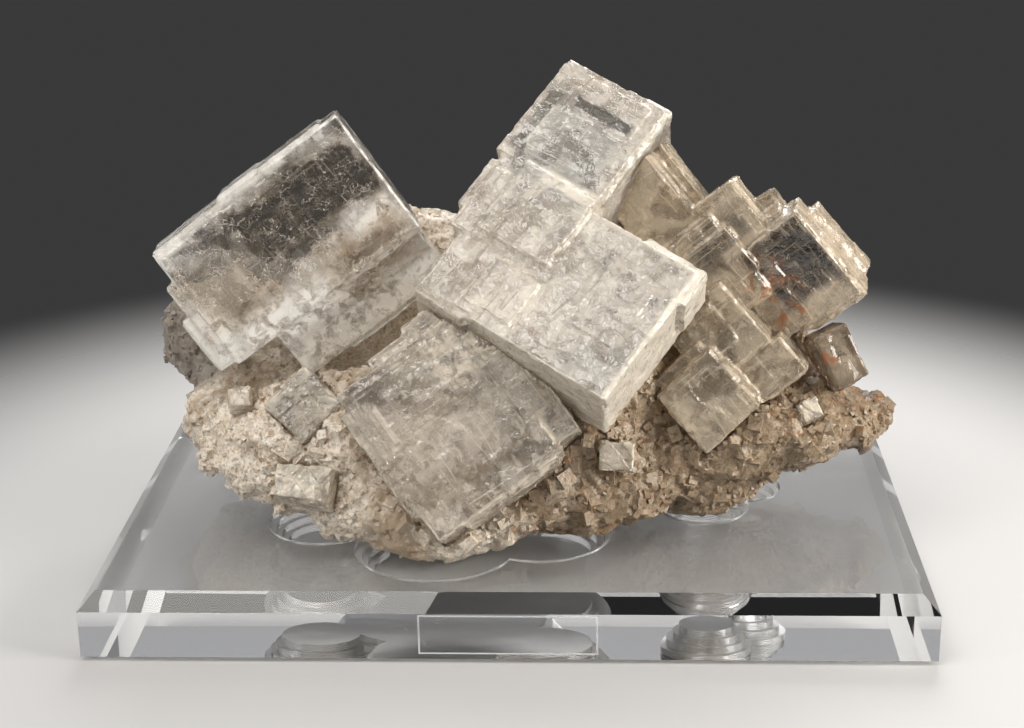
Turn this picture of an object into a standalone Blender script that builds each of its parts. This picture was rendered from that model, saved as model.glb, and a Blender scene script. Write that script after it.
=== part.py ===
"""A cluster of cubic halite crystals on granular salt, resting in a milled recess of a clear slab.

The slab stands on the plane z = 0 with the middle of its footprint at the origin. The cluster faces -Y.
"""

import math
import random
from collections import namedtuple

import bmesh
import bpy
from mathutils import Matrix, Vector, noise

MM = 0.001

# ---- driving dimensions, in millimetres -------------------------------------------------------------

SLAB_WIDTH = 330.2
SLAB_DEPTH = 203.2
SLAB_THICKNESS = 25.4
SLAB_BEVEL = 6.35
FOOT_DIAMETER = 9.0
FOOT_RISE = 2.0
FOOT_INSET = 9.0
FOOT_SIDES = 20
FOOT_ROUND = 0.4

RECESS_TERRACES = 4
TERRACE_DROP = 3.0
TERRACE_TREAD = 4.5
LOBE_SIDES = 18

GAP = 0.3
WELD = 0.02
CRYSTAL_BEVEL = 0.9
MATRIX_VOXEL = 7.0
MATRIX_SHARE_KEPT = 0.30
MATRIX_BROAD_RELIEF = 3.6
MATRIX_BROAD_SIZE = 26.0
MATRIX_FINE_RELIEF = 2.0
MATRIX_FINE_SIZE = 9.0

SLAB_TOP = FOOT_RISE + SLAB_THICKNESS

# ---- the recess: round lobes, each milled down in terraces: (x, y, radius at the top) ----------------

RECESS_LOBES = [
    (-78, -27, 24), (-30, -52, 33), (12, -38, 29), (-28, -2, 50), (80, -10, 19), (98, 10, 16),
]

# ---- the crystals ------------------------------------------------------------------------------------
# One growth is one set of cube directions. Its front face looks along -Y, turned to the right and tilted
# up by these angles, and its cube edges are spun by an angle in that face. A block is a box along those
# directions, measured from the growth's point: up to the right, up to the left, and out of the front face.

Growth = namedtuple("Growth", "point turn tilt spin blocks")

CRYSTALS = {
    "main_crystals": [
        Growth((28.5, 12, 184), -2, 45, 57, [
            ((-27, 27.5), (-25, 24.5), (-40, 0)),
            ((-22, 29), (-26.5, -10), (-36, -2.2)),
            ((-31.5, -8), (-8, 21), (-38, -1.4)),
            ((5, 24), (-20, 12), (-30, 0.9)),
        ]),
        Growth((17, -37, 134), -2, 45, 57, [
            ((-31, 36), (-46.5, 43.5), (-34, 0)),
            ((-33, 12), (20, 44.5), (-28, -1.6)),
            ((-1, 32), (30, 49.5), (-33, 0.8)),
            ((9, 35), (36, 54), (-31, -1.2)),
            ((3, 40), (4.5, 39), (-20, 2.8)),
            ((20, 38.5), (-49.5, -20), (-26, -1.1)),
            ((-12, 22), (-38, -14), (-12, 0.8)),
            ((-26, -2), (2, 26), (-12, 1.2)),
        ]),
    ],
    "right_crystals": [
        Growth((54.5, 5, 154.5), -12, 4, 41, [
            ((-14, 13.6), (-27, 16), (-6, 0)),
            ((-13, 14.9), (-28.1, 14.7), (-11, -3.2)),
            ((-12.2, 13.1), (-26.2, 13.3), (-16, -8)),
            ((-11.3, 18.4), (-27.4, 21), (-26, -12.4)),
        ]),
        Growth((88.6, -3.5, 148.6), -10, 4, 40, [
            ((-8, 11), (-13, 14), (-7.5, 0)),
            ((-6.6, 12.4), (-11.6, 12.8), (-15, -4.1)),
            ((-5.4, 10.2), (-10.3, 11.6), (-24, -9.7)),
        ]),
        Growth((87, -7, 128), -8, 2, 40, [
            ((-21, 10.5), (-17, 23), (-26, 0)),
            ((-14, 13), (-7, 16), (-22, 1.1)),
            ((-4, 9), (-19, -4), (-20, -1.2)),
        ]),
        Growth((114.3, -7.8, 127), -8, -4, 40, [
            ((-11, 18.5), (-24, 21), (-22, 0)),
            ((-26, -4), (-21, -1), (-22, 0.7)),
            ((-2.6, 12), (12, 24), (-20, -7)),
            ((-9, 19.5), (-26, 6), (-20, -1.8)),
        ]),
        Growth((125.5, 11, 130), -9, -3, 41, [
            ((-18, 11.5), (-18, 17.5), (-7, 5)),
            ((-16.4, 13.8), (-19.5, 15.8), (-13, 1.2)),
        ]),
        Growth((105.5, 10, 149.5), -14, 8, 36, [
            ((-9, 6), (-7, 7.5), (-16, 0)),
        ]),
        Growth((89.5, 10, 156), -12, 6, 40, [
            ((-10, 4.5), (-6, 4.5), (-14, 0)),
        ]),
    ],
    "low_right_crystals": [
        Growth((79.7, -33.4, 82.3), -8, 12, 44, [
            ((-15.5, 15), (-16, 16), (-26, 0)),
            ((-12, 12), (2, 21), (-24, -3)),
            ((-13, 16.2), (-13, 9), (-22, -2)),
        ]),
        Growth((104.4, -23.8, 91), -8, 8, 42, [
            ((-11, 13.5), (-9.5, 9), (-20, 0)),
            ((-8, 12.4), (-10.5, 6), (-18, -1.3)),
        ]),
        Growth((85, -22, 106), -8, 8, 42, [
            ((-18, 14.5), (-14, 18), (-26, 0)),
            ((-14, 6), (-6, 16), (-22, 0.9)),
        ]),
    ],
    "lower_crystal": [
        Growth((-23, -57, 84.5), -2, 27, 37, [
            ((-32, 29), (-38, 34), (-32, 0)),
            ((-35.5, -18), (-25, 26), (-28, -1.3)),
            ((16, 39.5), (-34.5, 14), (-30, -1.1)),
            ((22, 36), (-20, 24), (-30, 0.8)),
            ((-14, 6), (24, 38.5), (-24, -1.6)),
            ((4, 20), (24, 42), (-26, -2.6)),
            ((-20, 26), (-40.3, -20), (-24, -2.2)),
            ((-27, 14), (2, 30), (-10, 0.9)),
        ]),
    ],
    "left_crystal": [
        Growth((-86, -16, 137), 7, 8, 35, [
            ((-46, 48), (-20, 37.5), (-40, 0)),
            ((-54, -26), (-18.5, 8), (-36, -1.2)),
            ((-50, -32), (-12, 23), (-38, -0.6)),
            ((-26, 46.5), (-42, -8), (-34, -1.4)),
            ((-5, 40), (-43.6, -16), (-30, -2.6)),
            ((-12, 9), (22, 39.5), (-34, -4)),
            ((8, 40), (20, 38.8), (-37, -2)),
        ]),
    ],
    "far_right_crystal": [
        Growth((135.8, -13.7, 94), 10, 15, 24, [
            ((-8.5, 7.5), (-12, 13), (-18, 0)),
            ((-10, 2), (-4, 12), (-15, -2.6)),
        ]),
    ],
}

# single small cubes, most of each one sunk in the granular salt: (x, y, z), turn, tilt, spin, (sizes)
SMALL_CUBES = [
    ((-84, -38, 83), -10, 32, 50, (24, 24, 18)),
    ((-111, -29, 83), 4, 36, 4, (11, 10, 12)),
    ((-84, -52, 55), -10, 40, -4, (25, 16, 14)),
    ((43, -52, 66), 2, 24, -3, (15, 13, 14)),
    ((122, -26, 76), 8, 30, 20, (10, 10, 10)),
    ((-52, 64, 112), 172, 24, 30, (26, 24, 18)),
    ((34, 77, 98), 186, 14, 38, (30, 26, 18)),
    ((98, 50, 84), 168, 20, 22, (18, 20, 14)),
]

# ---- the granular salt: overlapping lumps: (x, y, z of the middle), (half sizes) ----------------------

MATRIX_LUMPS = [
    ((-15, 5, 60), (100, 58, 36)),
    ((-97, 8, 60), (47, 42, 28)),
    ((-90, -16, 50), (38, 28, 20)),
    ((-32, -24, 36), (56, 38, 24)),
    ((20, -20, 42), (48, 32, 22)),
    ((-72, -22, 66), (44, 27, 25)),
    ((88, 4, 62), (62, 40, 27)),
    ((132, 12, 59), (31, 25, 16)),
    ((-127, 42, 88), (31, 28, 28)),
    ((-42, 42, 104), (60, 30, 42)),
    ((55, 40, 102), (62, 34, 50)),
    ((20, -8, 84), (48, 40, 34)),
    ((98, 22, 92), (29, 26, 42)),
    ((82, -6, 38), (26, 22, 18)),
]
LUMP_ROUNDS = 3
MATRIX_GRAINS = 22
GRAIN_SIZES = (6.0, 10.0)
GRAIN_SEED = 11


# ---- helpers -------------------------------------------------------------------------------------------

def material(name, colour, roughness, transmission=0.0, ior=1.54):
    made = bpy.data.materials.new(name)
    made.use_nodes = True
    shader = made.node_tree.nodes["Principled BSDF"]
    shader.inputs["Base Color"].default_value = (*colour, 1.0)
    shader.inputs["Roughness"].default_value = roughness
    shader.inputs["Transmission Weight"].default_value = transmission
    shader.inputs["IOR"].default_value = ior
    return made


def object_from(name, work, look=None):
    """Turn a bmesh in millimetres into an object in metres."""
    bmesh.ops.scale(work, vec=(MM, MM, MM), verts=work.verts)
    mesh = bpy.data.meshes.new(name)
    work.to_mesh(mesh)
    work.free()
    made = bpy.data.objects.new(name, mesh)
    bpy.context.scene.collection.objects.link(made)
    if look:
        mesh.materials.append(look)
    return made


def cube_directions(turn, tilt, spin):
    """The rotation whose columns point up to the right, up to the left and out of a crystal's front face."""
    turn, tilt, spin = (math.radians(angle) for angle in (turn, tilt, spin))
    out = Vector((math.sin(turn) * math.cos(tilt), -math.cos(turn) * math.cos(tilt), math.sin(tilt)))
    level = Vector((math.cos(turn), math.sin(turn), 0))
    upright = out.cross(level)
    to_right = math.cos(spin) * level + math.sin(spin) * upright
    to_left = math.cos(spin) * upright - math.sin(spin) * level
    return Matrix((to_right, to_left, out)).transposed().to_4x4()


def box(low, high, place, bevel=0.0):
    """A box between two corners, with bevelled edges, put in place by a matrix. It is a bmesh."""
    work = bmesh.new()
    bmesh.ops.create_cube(work, size=1.0)
    size = Vector(high) - Vector(low)
    middle = (Vector(high) + Vector(low)) / 2
    bmesh.ops.transform(work, matrix=Matrix.Translation(middle) @ Matrix.Diagonal((*size, 1)), verts=work.verts)
    if bevel:
        bmesh.ops.bevel(work, geom=work.edges[:], offset=bevel, segments=1, affect="EDGES", profile=0.5)
    bmesh.ops.transform(work, matrix=place, verts=work.verts)
    return work


def combine(body, operation, *tools):
    """Join tools to a body, or cut them out of it, one after the other, and use the tools up."""
    bpy.context.view_layer.objects.active = body
    for tool in tools:
        step = body.modifiers.new(operation, "BOOLEAN")
        step.operation = operation
        step.solver = "EXACT"
        step.object = tool
        bpy.ops.object.modifier_apply(modifier=step.name)
        bpy.data.objects.remove(tool)


def clean_up(body):
    """Weld points that all but touch, then drop crumbs beside the one body and closed hollows inside it."""
    work = bmesh.new()
    work.from_mesh(body.data)
    bmesh.ops.remove_doubles(work, verts=work.verts, dist=WELD * MM)
    bmesh.ops.dissolve_degenerate(work, edges=work.edges, dist=WELD * MM)
    pieces = []
    unseen = set(work.verts)
    while unseen:
        piece = {unseen.pop()}
        edge_of_search = list(piece)
        while edge_of_search:
            vert = edge_of_search.pop()
            for edge in vert.link_edges:
                other = edge.other_vert(vert)
                if other in unseen:
                    unseen.discard(other)
                    piece.add(other)
                    edge_of_search.append(other)
        pieces.append(piece)
    largest = max(pieces, key=len)
    crumbs = [vert for vert in work.verts if vert not in largest]
    bmesh.ops.delete(work, geom=crumbs, context="VERTS")
    work.to_mesh(body.data)
    work.free()


def crystal(name, growths, look=None, grown=0.0):
    """One solid from every block of the growths. A grown copy is larger all over, and cuts a pocket."""
    blocks = []
    for growth in growths:
        place = Matrix.Translation(growth.point) @ cube_directions(growth.turn, growth.tilt, growth.spin)
        for spans in growth.blocks:
            low = [span[0] - grown for span in spans]
            high = [span[1] + grown for span in spans]
            bevel = 0.0 if grown else CRYSTAL_BEVEL
            blocks.append(object_from(name, box(low, high, place, bevel), look))
    body, *rest = blocks
    for block in rest:
        combine(body, "UNION", block)
        clean_up(body)
    body.name = name
    return body


def small_cube_growth(point, turn, tilt, spin, sizes):
    wide, high, deep = sizes
    block = ((-wide / 2, wide / 2), (-high / 2, high / 2), (-deep, 0))
    return Growth(point, turn, tilt, spin, [block])


# ---- the granular salt ---------------------------------------------------------------------------------

def lump(middle, half_sizes):
    work = bmesh.new()
    bmesh.ops.create_icosphere(work, subdivisions=LUMP_ROUNDS, radius=1.0)
    bmesh.ops.scale(work, vec=half_sizes, verts=work.verts)
    bmesh.ops.translate(work, vec=middle, verts=work.verts)
    return object_from("lump", work)


def roughen(body):
    """Push the surface in and out: broad swells with sharp little lumps on them."""
    mesh = body.data
    normals = [vertex.normal.copy() for vertex in mesh.vertices]
    for vertex, normal in zip(mesh.vertices, normals):
        broad = noise.noise(vertex.co / (MATRIX_BROAD_SIZE * MM))
        fine = noise.cell(vertex.co / (MATRIX_FINE_SIZE * MM)) - 0.5
        shift = MATRIX_BROAD_RELIEF * broad + MATRIX_FINE_RELIEF * fine
        vertex.co += normal * shift * MM


def grains(body, count):
    """Small salt cubes set half into the surface, at places drawn once from a fixed seed."""
    draw = random.Random(GRAIN_SEED)
    mesh = body.data
    made = []
    for _ in range(count):
        vertex = mesh.vertices[draw.randrange(len(mesh.vertices))]
        size = draw.uniform(*GRAIN_SIZES)
        turns = [math.radians(draw.uniform(0, 90)) for _ in range(3)]
        place = Matrix.Translation(vertex.co / MM)
        for angle, axis in zip(turns, "XYZ"):
            place = place @ Matrix.Rotation(angle, 4, axis)
        half = Vector((size, size * draw.uniform(0.7, 1.0), size * draw.uniform(0.6, 1.0))) / 2
        made.append(object_from("grain", box(-half, half, place)))
    return made


def matrix_body(look):
    body, *rest = [lump(middle, half_sizes) for middle, half_sizes in MATRIX_LUMPS]
    combine(body, "UNION", *rest)
    remesh = body.modifiers.new("remesh", "REMESH")
    remesh.mode = "VOXEL"
    remesh.voxel_size = MATRIX_VOXEL * MM
    bpy.context.view_layer.objects.active = body
    bpy.ops.object.modifier_apply(modifier=remesh.name)
    roughen(body)
    thin_out = body.modifiers.new("thin_out", "DECIMATE")
    thin_out.ratio = MATRIX_SHARE_KEPT
    bpy.ops.object.modifier_apply(modifier=thin_out.name)
    combine(body, "UNION", *grains(body, MATRIX_GRAINS))
    body.name = "matrix"
    body.data.materials.clear()
    body.data.materials.append(look)
    return body


# ---- the slab and its feet -----------------------------------------------------------------------------

def lobe(x, y, radius, floor, top):
    work = bmesh.new()
    bmesh.ops.create_cone(work, cap_ends=True, segments=LOBE_SIDES, radius1=radius, radius2=radius, depth=top - floor)
    bmesh.ops.translate(work, vec=(x, y, (top + floor) / 2), verts=work.verts)
    return object_from("lobe", work)


def recess_plug(slack=0.0):
    """The solid that fills the terraced recess, or with some slack the room that it leaves for the salt."""
    above = SLAB_TOP + SLAB_THICKNESS
    lobes = []
    for level in range(RECESS_TERRACES):
        floor = SLAB_TOP - (level + 1) * TERRACE_DROP + slack
        for x, y, radius in RECESS_LOBES:
            lobes.append(lobe(x, y, radius - level * TERRACE_TREAD - slack, floor, above))
    body, *rest = [tool for tool in lobes if tool.dimensions.x > 0]
    combine(body, "UNION", *rest)
    return body


def slab_block():
    """The slab before milling: a plate whose top edges are bevelled at 45 degrees."""
    half_width, half_depth = SLAB_WIDTH / 2, SLAB_DEPTH / 2
    rings = [(FOOT_RISE, 0.0), (SLAB_TOP - SLAB_BEVEL, 0.0), (SLAB_TOP, SLAB_BEVEL)]
    corners = [(-1, -1), (1, -1), (1, 1), (-1, 1)]
    work = bmesh.new()
    rows = []
    for z, inset in rings:
        rows.append([work.verts.new((sx * (half_width - inset), sy * (half_depth - inset), z)) for sx, sy in corners])
    for lower, upper in zip(rows, rows[1:]):
        for index in range(4):
            after = (index + 1) % 4
            work.faces.new((lower[index], lower[after], upper[after], upper[index]))
    work.faces.new(rows[0][::-1])
    work.faces.new(rows[-1])
    return work


def base_slab(look):
    slab = object_from("base_slab", slab_block(), look)
    combine(slab, "DIFFERENCE", recess_plug())
    return slab


def foot(name, x, y, look):
    work = bmesh.new()
    height = FOOT_RISE - GAP
    radius = FOOT_DIAMETER / 2
    bmesh.ops.create_cone(work, cap_ends=True, segments=FOOT_SIDES, radius1=radius, radius2=radius, depth=height)
    rims = [edge for edge in work.edges if abs(edge.verts[0].co.z - edge.verts[1].co.z) < FOOT_ROUND]
    bmesh.ops.bevel(work, geom=rims, offset=FOOT_ROUND, segments=1, affect="EDGES", profile=0.5)
    bmesh.ops.translate(work, vec=(x, y, height / 2), verts=work.verts)
    return object_from(name, work, look)


def slab_room():
    """What the salt may not enter: everything below the slab's top except the room in the recess."""
    low = (-SLAB_WIDTH, -SLAB_DEPTH, -SLAB_THICKNESS)
    high = (SLAB_WIDTH, SLAB_DEPTH, SLAB_TOP + GAP)
    room = object_from("room", box(low, high, Matrix.Identity(4)))
    combine(room, "DIFFERENCE", recess_plug(slack=GAP))
    return room


# ---- the model -----------------------------------------------------------------------------------------

def clear_scene():
    for item in list(bpy.data.objects):
        bpy.data.objects.remove(item)


def main():
    clear_scene()
    clear_salt = material("clear_salt", (0.90, 0.88, 0.85), 0.12, transmission=0.85)
    frosted_salt = material("frosted_salt", (0.76, 0.69, 0.62), 0.45, transmission=0.35)
    grey_salt = material("grey_salt", (0.66, 0.60, 0.54), 0.35, transmission=0.5)
    sugary_salt = material("sugary_salt", (0.52, 0.43, 0.35), 0.7)
    acrylic = material("acrylic", (0.98, 0.98, 0.98), 0.03, transmission=1.0, ior=1.49)

    looks = {
        "main_crystals": frosted_salt,
        "right_crystals": grey_salt,
        "low_right_crystals": grey_salt,
        "lower_crystal": frosted_salt,
        "left_crystal": clear_salt,
        "far_right_crystal": grey_salt,
    }
    growths = dict(CRYSTALS)
    for number, (point, turn, tilt, spin, sizes) in enumerate(SMALL_CUBES, start=1):
        growths[f"small_cube_{number}"] = [small_cube_growth(point, turn, tilt, spin, sizes)]

    # a crystal later in the list grew against those before it, and the salt lies against them all
    made = []
    for name in growths:
        body = crystal(name, growths[name], looks.get(name, grey_salt))
        earlier = [crystal("pocket", growths[other], grown=GAP) for other in made]
        combine(body, "DIFFERENCE", *earlier)
        clean_up(body)
        made.append(name)

    salt = matrix_body(sugary_salt)
    pockets = [crystal("pocket", growths[name], grown=GAP) for name in made]
    combine(salt, "DIFFERENCE", *pockets, slab_room())
    clean_up(salt)

    base_slab(acrylic)
    foot_x = SLAB_WIDTH / 2 - FOOT_INSET
    foot_y = SLAB_DEPTH / 2 - FOOT_INSET
    for side, x in (("left", -foot_x), ("right", foot_x)):
        for end, y in (("front", -foot_y), ("back", foot_y)):
            foot(f"foot_{end}_{side}", x, y, acrylic)


main()
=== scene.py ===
# %% [markdown]
# # A cluster of salt cubes on a clear display slab
# Rock salt grows as cubes. This specimen is a fist of cubes, some clear as window glass and some milky,
# grown on a lump of granular salt, and it rests in a hollow milled in a clear slab. The lesson starts from
# plain solids of the same object, loaded from model.glb, and dresses each one: a finer surface, then a
# material. Everything is in metres, with +Z up and the big faces towards -Y.

# %% Load the plain solids
import math
import random
from collections import namedtuple

import bmesh
import bpy
from mathutils import Matrix, Vector, noise
from mathutils.bvhtree import BVHTree


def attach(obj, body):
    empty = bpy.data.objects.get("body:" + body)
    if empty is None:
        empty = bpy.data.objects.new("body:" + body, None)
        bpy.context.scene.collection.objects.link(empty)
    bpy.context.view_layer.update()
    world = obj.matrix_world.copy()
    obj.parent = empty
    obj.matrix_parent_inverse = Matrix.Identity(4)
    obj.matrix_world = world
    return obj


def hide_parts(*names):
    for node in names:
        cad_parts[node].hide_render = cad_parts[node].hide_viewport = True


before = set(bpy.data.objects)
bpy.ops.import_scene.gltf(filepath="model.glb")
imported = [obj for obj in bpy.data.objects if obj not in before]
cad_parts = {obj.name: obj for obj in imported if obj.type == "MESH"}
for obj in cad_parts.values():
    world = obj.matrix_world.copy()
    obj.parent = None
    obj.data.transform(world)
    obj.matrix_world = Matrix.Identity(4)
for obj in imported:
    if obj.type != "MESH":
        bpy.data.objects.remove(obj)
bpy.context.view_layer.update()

MM = 0.001
print("plain solids:", sorted(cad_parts))


# %% [markdown]
# ## The camera
# The camera stands in front of the slab, a little above the top of the specimen, and looks slightly down.
# Its place and its turn are written out, and its three directions follow from them, which leaves no doubt
# about its roll. A long lens keeps the cubes from looking stretched.

# %% Set the camera
CAMERA_PLACE = Vector((0.0342, -0.7707, 0.3563))
CAMERA_TURN = Vector((0.3366, 0.0419, -0.0077))
FOCAL_LENGTH_MM = 68.55
SENSOR_WIDTH_MM = 36.0


def camera_matrix(place, turn):
    """Rows of a level, forward-looking camera, then turned about one axis by the length of that axis."""
    level = Matrix(((1, 0, 0), (0, 0, -1), (0, 1, 0)))
    rows = Matrix.Rotation(turn.length, 3, turn.normalized()) @ level
    right, down, forward = rows
    columns = Matrix((right, -down, -forward)).transposed()
    return Matrix.Translation(place) @ columns.to_4x4()


bpy.ops.object.camera_add()
camera = bpy.context.object
camera.name = "camera"
camera.matrix_world = camera_matrix(CAMERA_PLACE, CAMERA_TURN)
camera.data.lens = FOCAL_LENGTH_MM
camera.data.sensor_width = SENSOR_WIDTH_MM
bpy.context.scene.camera = camera
bpy.context.scene.view_settings.view_transform = "Standard"
print("camera looks along", [round(value, 3) for value in -camera.matrix_world.col[2].xyz])


# %% [markdown]
# ## Small tools for materials
# A material is a small graph of nodes. Building it in code gets long, so three helpers are enough: one
# adds a node and fills its sockets, one does arithmetic, and one turns a range of values into 0 to 1.

# %% Helpers that add nodes
def add_node(tree, kind, inputs=None, **settings):
    """Add a node. Each input is a number, a colour, or the output of another node to be linked."""
    node = tree.nodes.new(kind)
    for name, value in settings.items():
        setattr(node, name, value)
    for name, value in (inputs or {}).items():
        if isinstance(value, bpy.types.NodeSocket):
            tree.links.new(value, node.inputs[name])
        else:
            node.inputs[name].default_value = value
    return node


def calculate(tree, operation, first, second=0.0, clamp=False):
    node = add_node(tree, "ShaderNodeMath", {0: first, 1: second}, operation=operation, use_clamp=clamp)
    return node.outputs[0]


def fade(tree, value, start, end):
    """0 where the value is at start, 1 where it is at end, and smooth between them."""
    inputs = {"Value": value, "From Min": start, "From Max": end}
    return add_node(tree, "ShaderNodeMapRange", inputs, interpolation_type="SMOOTHSTEP").outputs[0]


def blend_colours(tree, amount, first, second):
    node = add_node(tree, "ShaderNodeMix", {0: amount, 6: first, 7: second}, data_type="RGBA")
    return node.outputs[2]


def cloud(tree, where, scale, detail=3.0, roughness=0.55, stretch=0.0):
    """Soft noise between 0 and 1."""
    inputs = {
        "Vector": where, "Scale": scale, "Detail": detail, "Roughness": roughness, "Distortion": stretch}
    return add_node(tree, "ShaderNodeTexNoise", inputs).outputs[0]


print("material helpers are ready")


# %% [markdown]
# ## The floor, the backdrop and the light
# A pale floor lies under the slab and fades out behind it, so that the clear cubes have a quiet, darker
# backdrop to show through them. Clear salt has no colour of its own: what stands behind it gives it its look.

# %% Build the floor
FLOOR_RADIUS = 1.4
FLOOR_SIDES = 128
FLOOR_GREY = (0.52, 0.515, 0.51, 1)
FLOOR_ROUGHNESS = 0.6
FLOOR_FADE_START = 0.24
FLOOR_FADE_END = 0.46

bpy.ops.object.select_all(action="DESELECT")
bpy.ops.mesh.primitive_circle_add(
    vertices=FLOOR_SIDES, radius=FLOOR_RADIUS, fill_type="NGON", location=(0, 0, 0))
floor = bpy.context.object
floor.name = "floor"

floor_paint = bpy.data.materials.new("pale_floor")
floor_paint.use_nodes = True
tree = floor_paint.node_tree
shader = tree.nodes["Principled BSDF"]
shader.inputs["Base Color"].default_value = FLOOR_GREY
shader.inputs["Roughness"].default_value = FLOOR_ROUGHNESS
place = add_node(tree, "ShaderNodeTexCoord").outputs["Object"]
distance = add_node(tree, "ShaderNodeVectorMath", {0: place}, operation="LENGTH").outputs["Value"]
tree.links.new(fade(tree, distance, FLOOR_FADE_END, FLOOR_FADE_START), shader.inputs["Alpha"])
floor.data.materials.append(floor_paint)
print("floor radius:", FLOOR_RADIUS, "m")

# %% [markdown]
# ## The light
# Clear cubes are lit by what surrounds them as much as by lamps. The world is dark near the horizon, which
# keeps the windows dark, and brighter overhead. Four square lamps do the rest: one above on the left, one
# low on the right for the side faces, a weak one on the left, and one behind that shines through the thin
# edges. A bare bulb would be simpler, but its hard spot would hide the fine lines on the faces.

# %% Hang the lights
LOW_SKY = (0.042, 0.042, 0.043, 1)
HIGH_SKY = (0.42, 0.42, 0.43, 1)
SKY_FADE = (-0.05, 0.6)

world = bpy.data.worlds.new("studio")
bpy.context.scene.world = world
world.use_nodes = True
tree = world.node_tree
background = tree.nodes["Background"]
direction = add_node(tree, "ShaderNodeTexCoord").outputs["Generated"]
height = add_node(tree, "ShaderNodeSeparateXYZ", {0: direction}).outputs["Z"]
sky = blend_colours(tree, fade(tree, height, *SKY_FADE), LOW_SKY, HIGH_SKY)
tree.links.new(sky, background.inputs["Color"])
background.inputs["Strength"].default_value = 1.0

Lamp = namedtuple("Lamp", "name place size power colour")
LAMPS = [
    Lamp("key_softbox", (-0.35, -0.50, 1.20), 0.55, 6.6, (1.0, 0.97, 0.92)),
    Lamp("fill_softbox", (1.00, -0.36, 0.40), 0.6, 14.5, (1.0, 0.96, 0.90)),
    Lamp("left_softbox", (-0.95, -0.60, 0.50), 0.8, 4.0, (1.0, 0.97, 0.92)),
    Lamp("back_softbox", (0.15, 0.95, 1.00), 0.8, 12.0, (1.0, 0.985, 0.97)),
]
AIM = Vector((0, 0, 0.1))
for lamp in LAMPS:
    bpy.ops.object.light_add(type="AREA", location=lamp.place)
    light = bpy.context.object
    light.name = lamp.name
    light.data.size = lamp.size
    light.data.energy = lamp.power
    light.data.color = lamp.colour
    light.rotation_euler = (AIM - Vector(lamp.place)).to_track_quat("-Z", "Y").to_euler()
print("lights:", [lamp.name for lamp in LAMPS])


# %% [markdown]
# ## Cube directions
# Every salt cube has its own three directions: up to the right, up to the left, and out of the front face.
# Steps, cracks and clear windows follow them, so each cluster gets a small frame of reference. A place in
# that frame is given in millimetres, which makes it easy to say "a window 20 mm up and 5 mm to the left".

# %% Give each cluster its directions
Directions = namedtuple("Directions", "point turn tilt spin")
LEFT_CUBE = Directions((-86, -16, 137), 7, 8, 35)
FRONT_CUBE = Directions((17, -37, 134), -2, 45, 57)
LOWER_CUBE = Directions((-23, -57, 84.5), -2, 27, 37)
RIGHT_CUBES = Directions((114.3, -7.8, 127), -8, -2, 40)
LOW_RIGHT_CUBES = Directions((79.7, -33.4, 82.3), -8, 10, 43)
FAR_RIGHT_CUBE = Directions((135.8, -13.7, 94), 10, 15, 24)


def frame_of(directions):
    """The matrix from the cube's own millimetres to the scene's metres."""
    turn, tilt, spin = (math.radians(angle) for angle in directions[1:])
    out = Vector((math.sin(turn) * math.cos(tilt), -math.cos(turn) * math.cos(tilt), math.sin(tilt)))
    level = Vector((math.cos(turn), math.sin(turn), 0))
    upright = out.cross(level)
    to_right = math.cos(spin) * level + math.sin(spin) * upright
    to_left = math.cos(spin) * upright - math.sin(spin) * level
    axes = Matrix((to_right, to_left, out)).transposed().to_4x4()
    return Matrix.Translation(Vector(directions.point) * MM) @ axes @ Matrix.Scale(MM, 4)


front_faces = frame_of(FRONT_CUBE).col[2].xyz.normalized()
print("the front cube faces", [round(value, 2) for value in front_faces])


# %% [markdown]
# ## From a plain solid to a grown surface
# A plain solid has large flat faces. A real salt face is a stack of thin layers that stop short of each
# other, with rectangular edges. The surface is first cut into a fine even net with a voxel remesh, in the
# cube's own directions so that the net lines up with its faces. Then each point sinks by a few tenths of a
# millimetre, in rectangular patches of three sizes, and the edges are nibbled a little.

# %% Copy a plain solid and merge its triangles
def only(item):
    """Make one object the active and only selected one."""
    bpy.ops.object.select_all(action="DESELECT")
    item.select_set(True)
    bpy.context.view_layer.objects.active = item


def apply_modifier(item, kind, **settings):
    only(item)
    step = item.modifiers.new(kind.lower(), kind)
    for name, value in settings.items():
        setattr(step, name, value)
    bpy.ops.object.modifier_apply(modifier=step.name)


MERGE_DISTANCE = 0.01 * MM


def merged_copy(node, name):
    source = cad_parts[node]
    mesh = source.data.copy()
    mesh.materials.clear()
    item = bpy.data.objects.new(name, mesh)
    bpy.context.scene.collection.objects.link(item)
    only(item)
    bpy.ops.object.mode_set(mode="EDIT")
    bpy.ops.mesh.select_all(action="SELECT")
    bpy.ops.mesh.remove_doubles(threshold=MERGE_DISTANCE)
    bpy.ops.object.mode_set(mode="OBJECT")
    return item


print("copies are ready to be made")


# %% [markdown]
# ## Steps and ledges
# The steps could be painted as bump alone, but then the outline of a cube would stay straight. Real points
# that move give steps which also show at the edges. Each point asks one question in the cube's own
# millimetres: how far below the face do I lie? Patches answer it by chance, ledges are placed one by one, and
# an attribute called "edge" remembers where two faces meet, for the white line along every edge.

# %% Grow steps on a surface
Relief = namedtuple("Relief", "patch depth share")
CUBE_RELIEFS = [
    Relief((17, 11, 9), 0.45, 0.36),
    Relief((7, 9, 6), 0.3, 0.3),
    Relief((2.6, 3.4, 2.6), 0.15, 0.16),
]
FACE_BEND = 2.5
FACE_BEND_LENGTH = 30
CALM_LENGTH = 22
CALM_LEVEL = -0.1
EDGE_NIBBLE = 0.9
NIBBLE_LENGTH = 4
NIBBLE_START = 0.15
EDGE_TILT = 0.3


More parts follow.
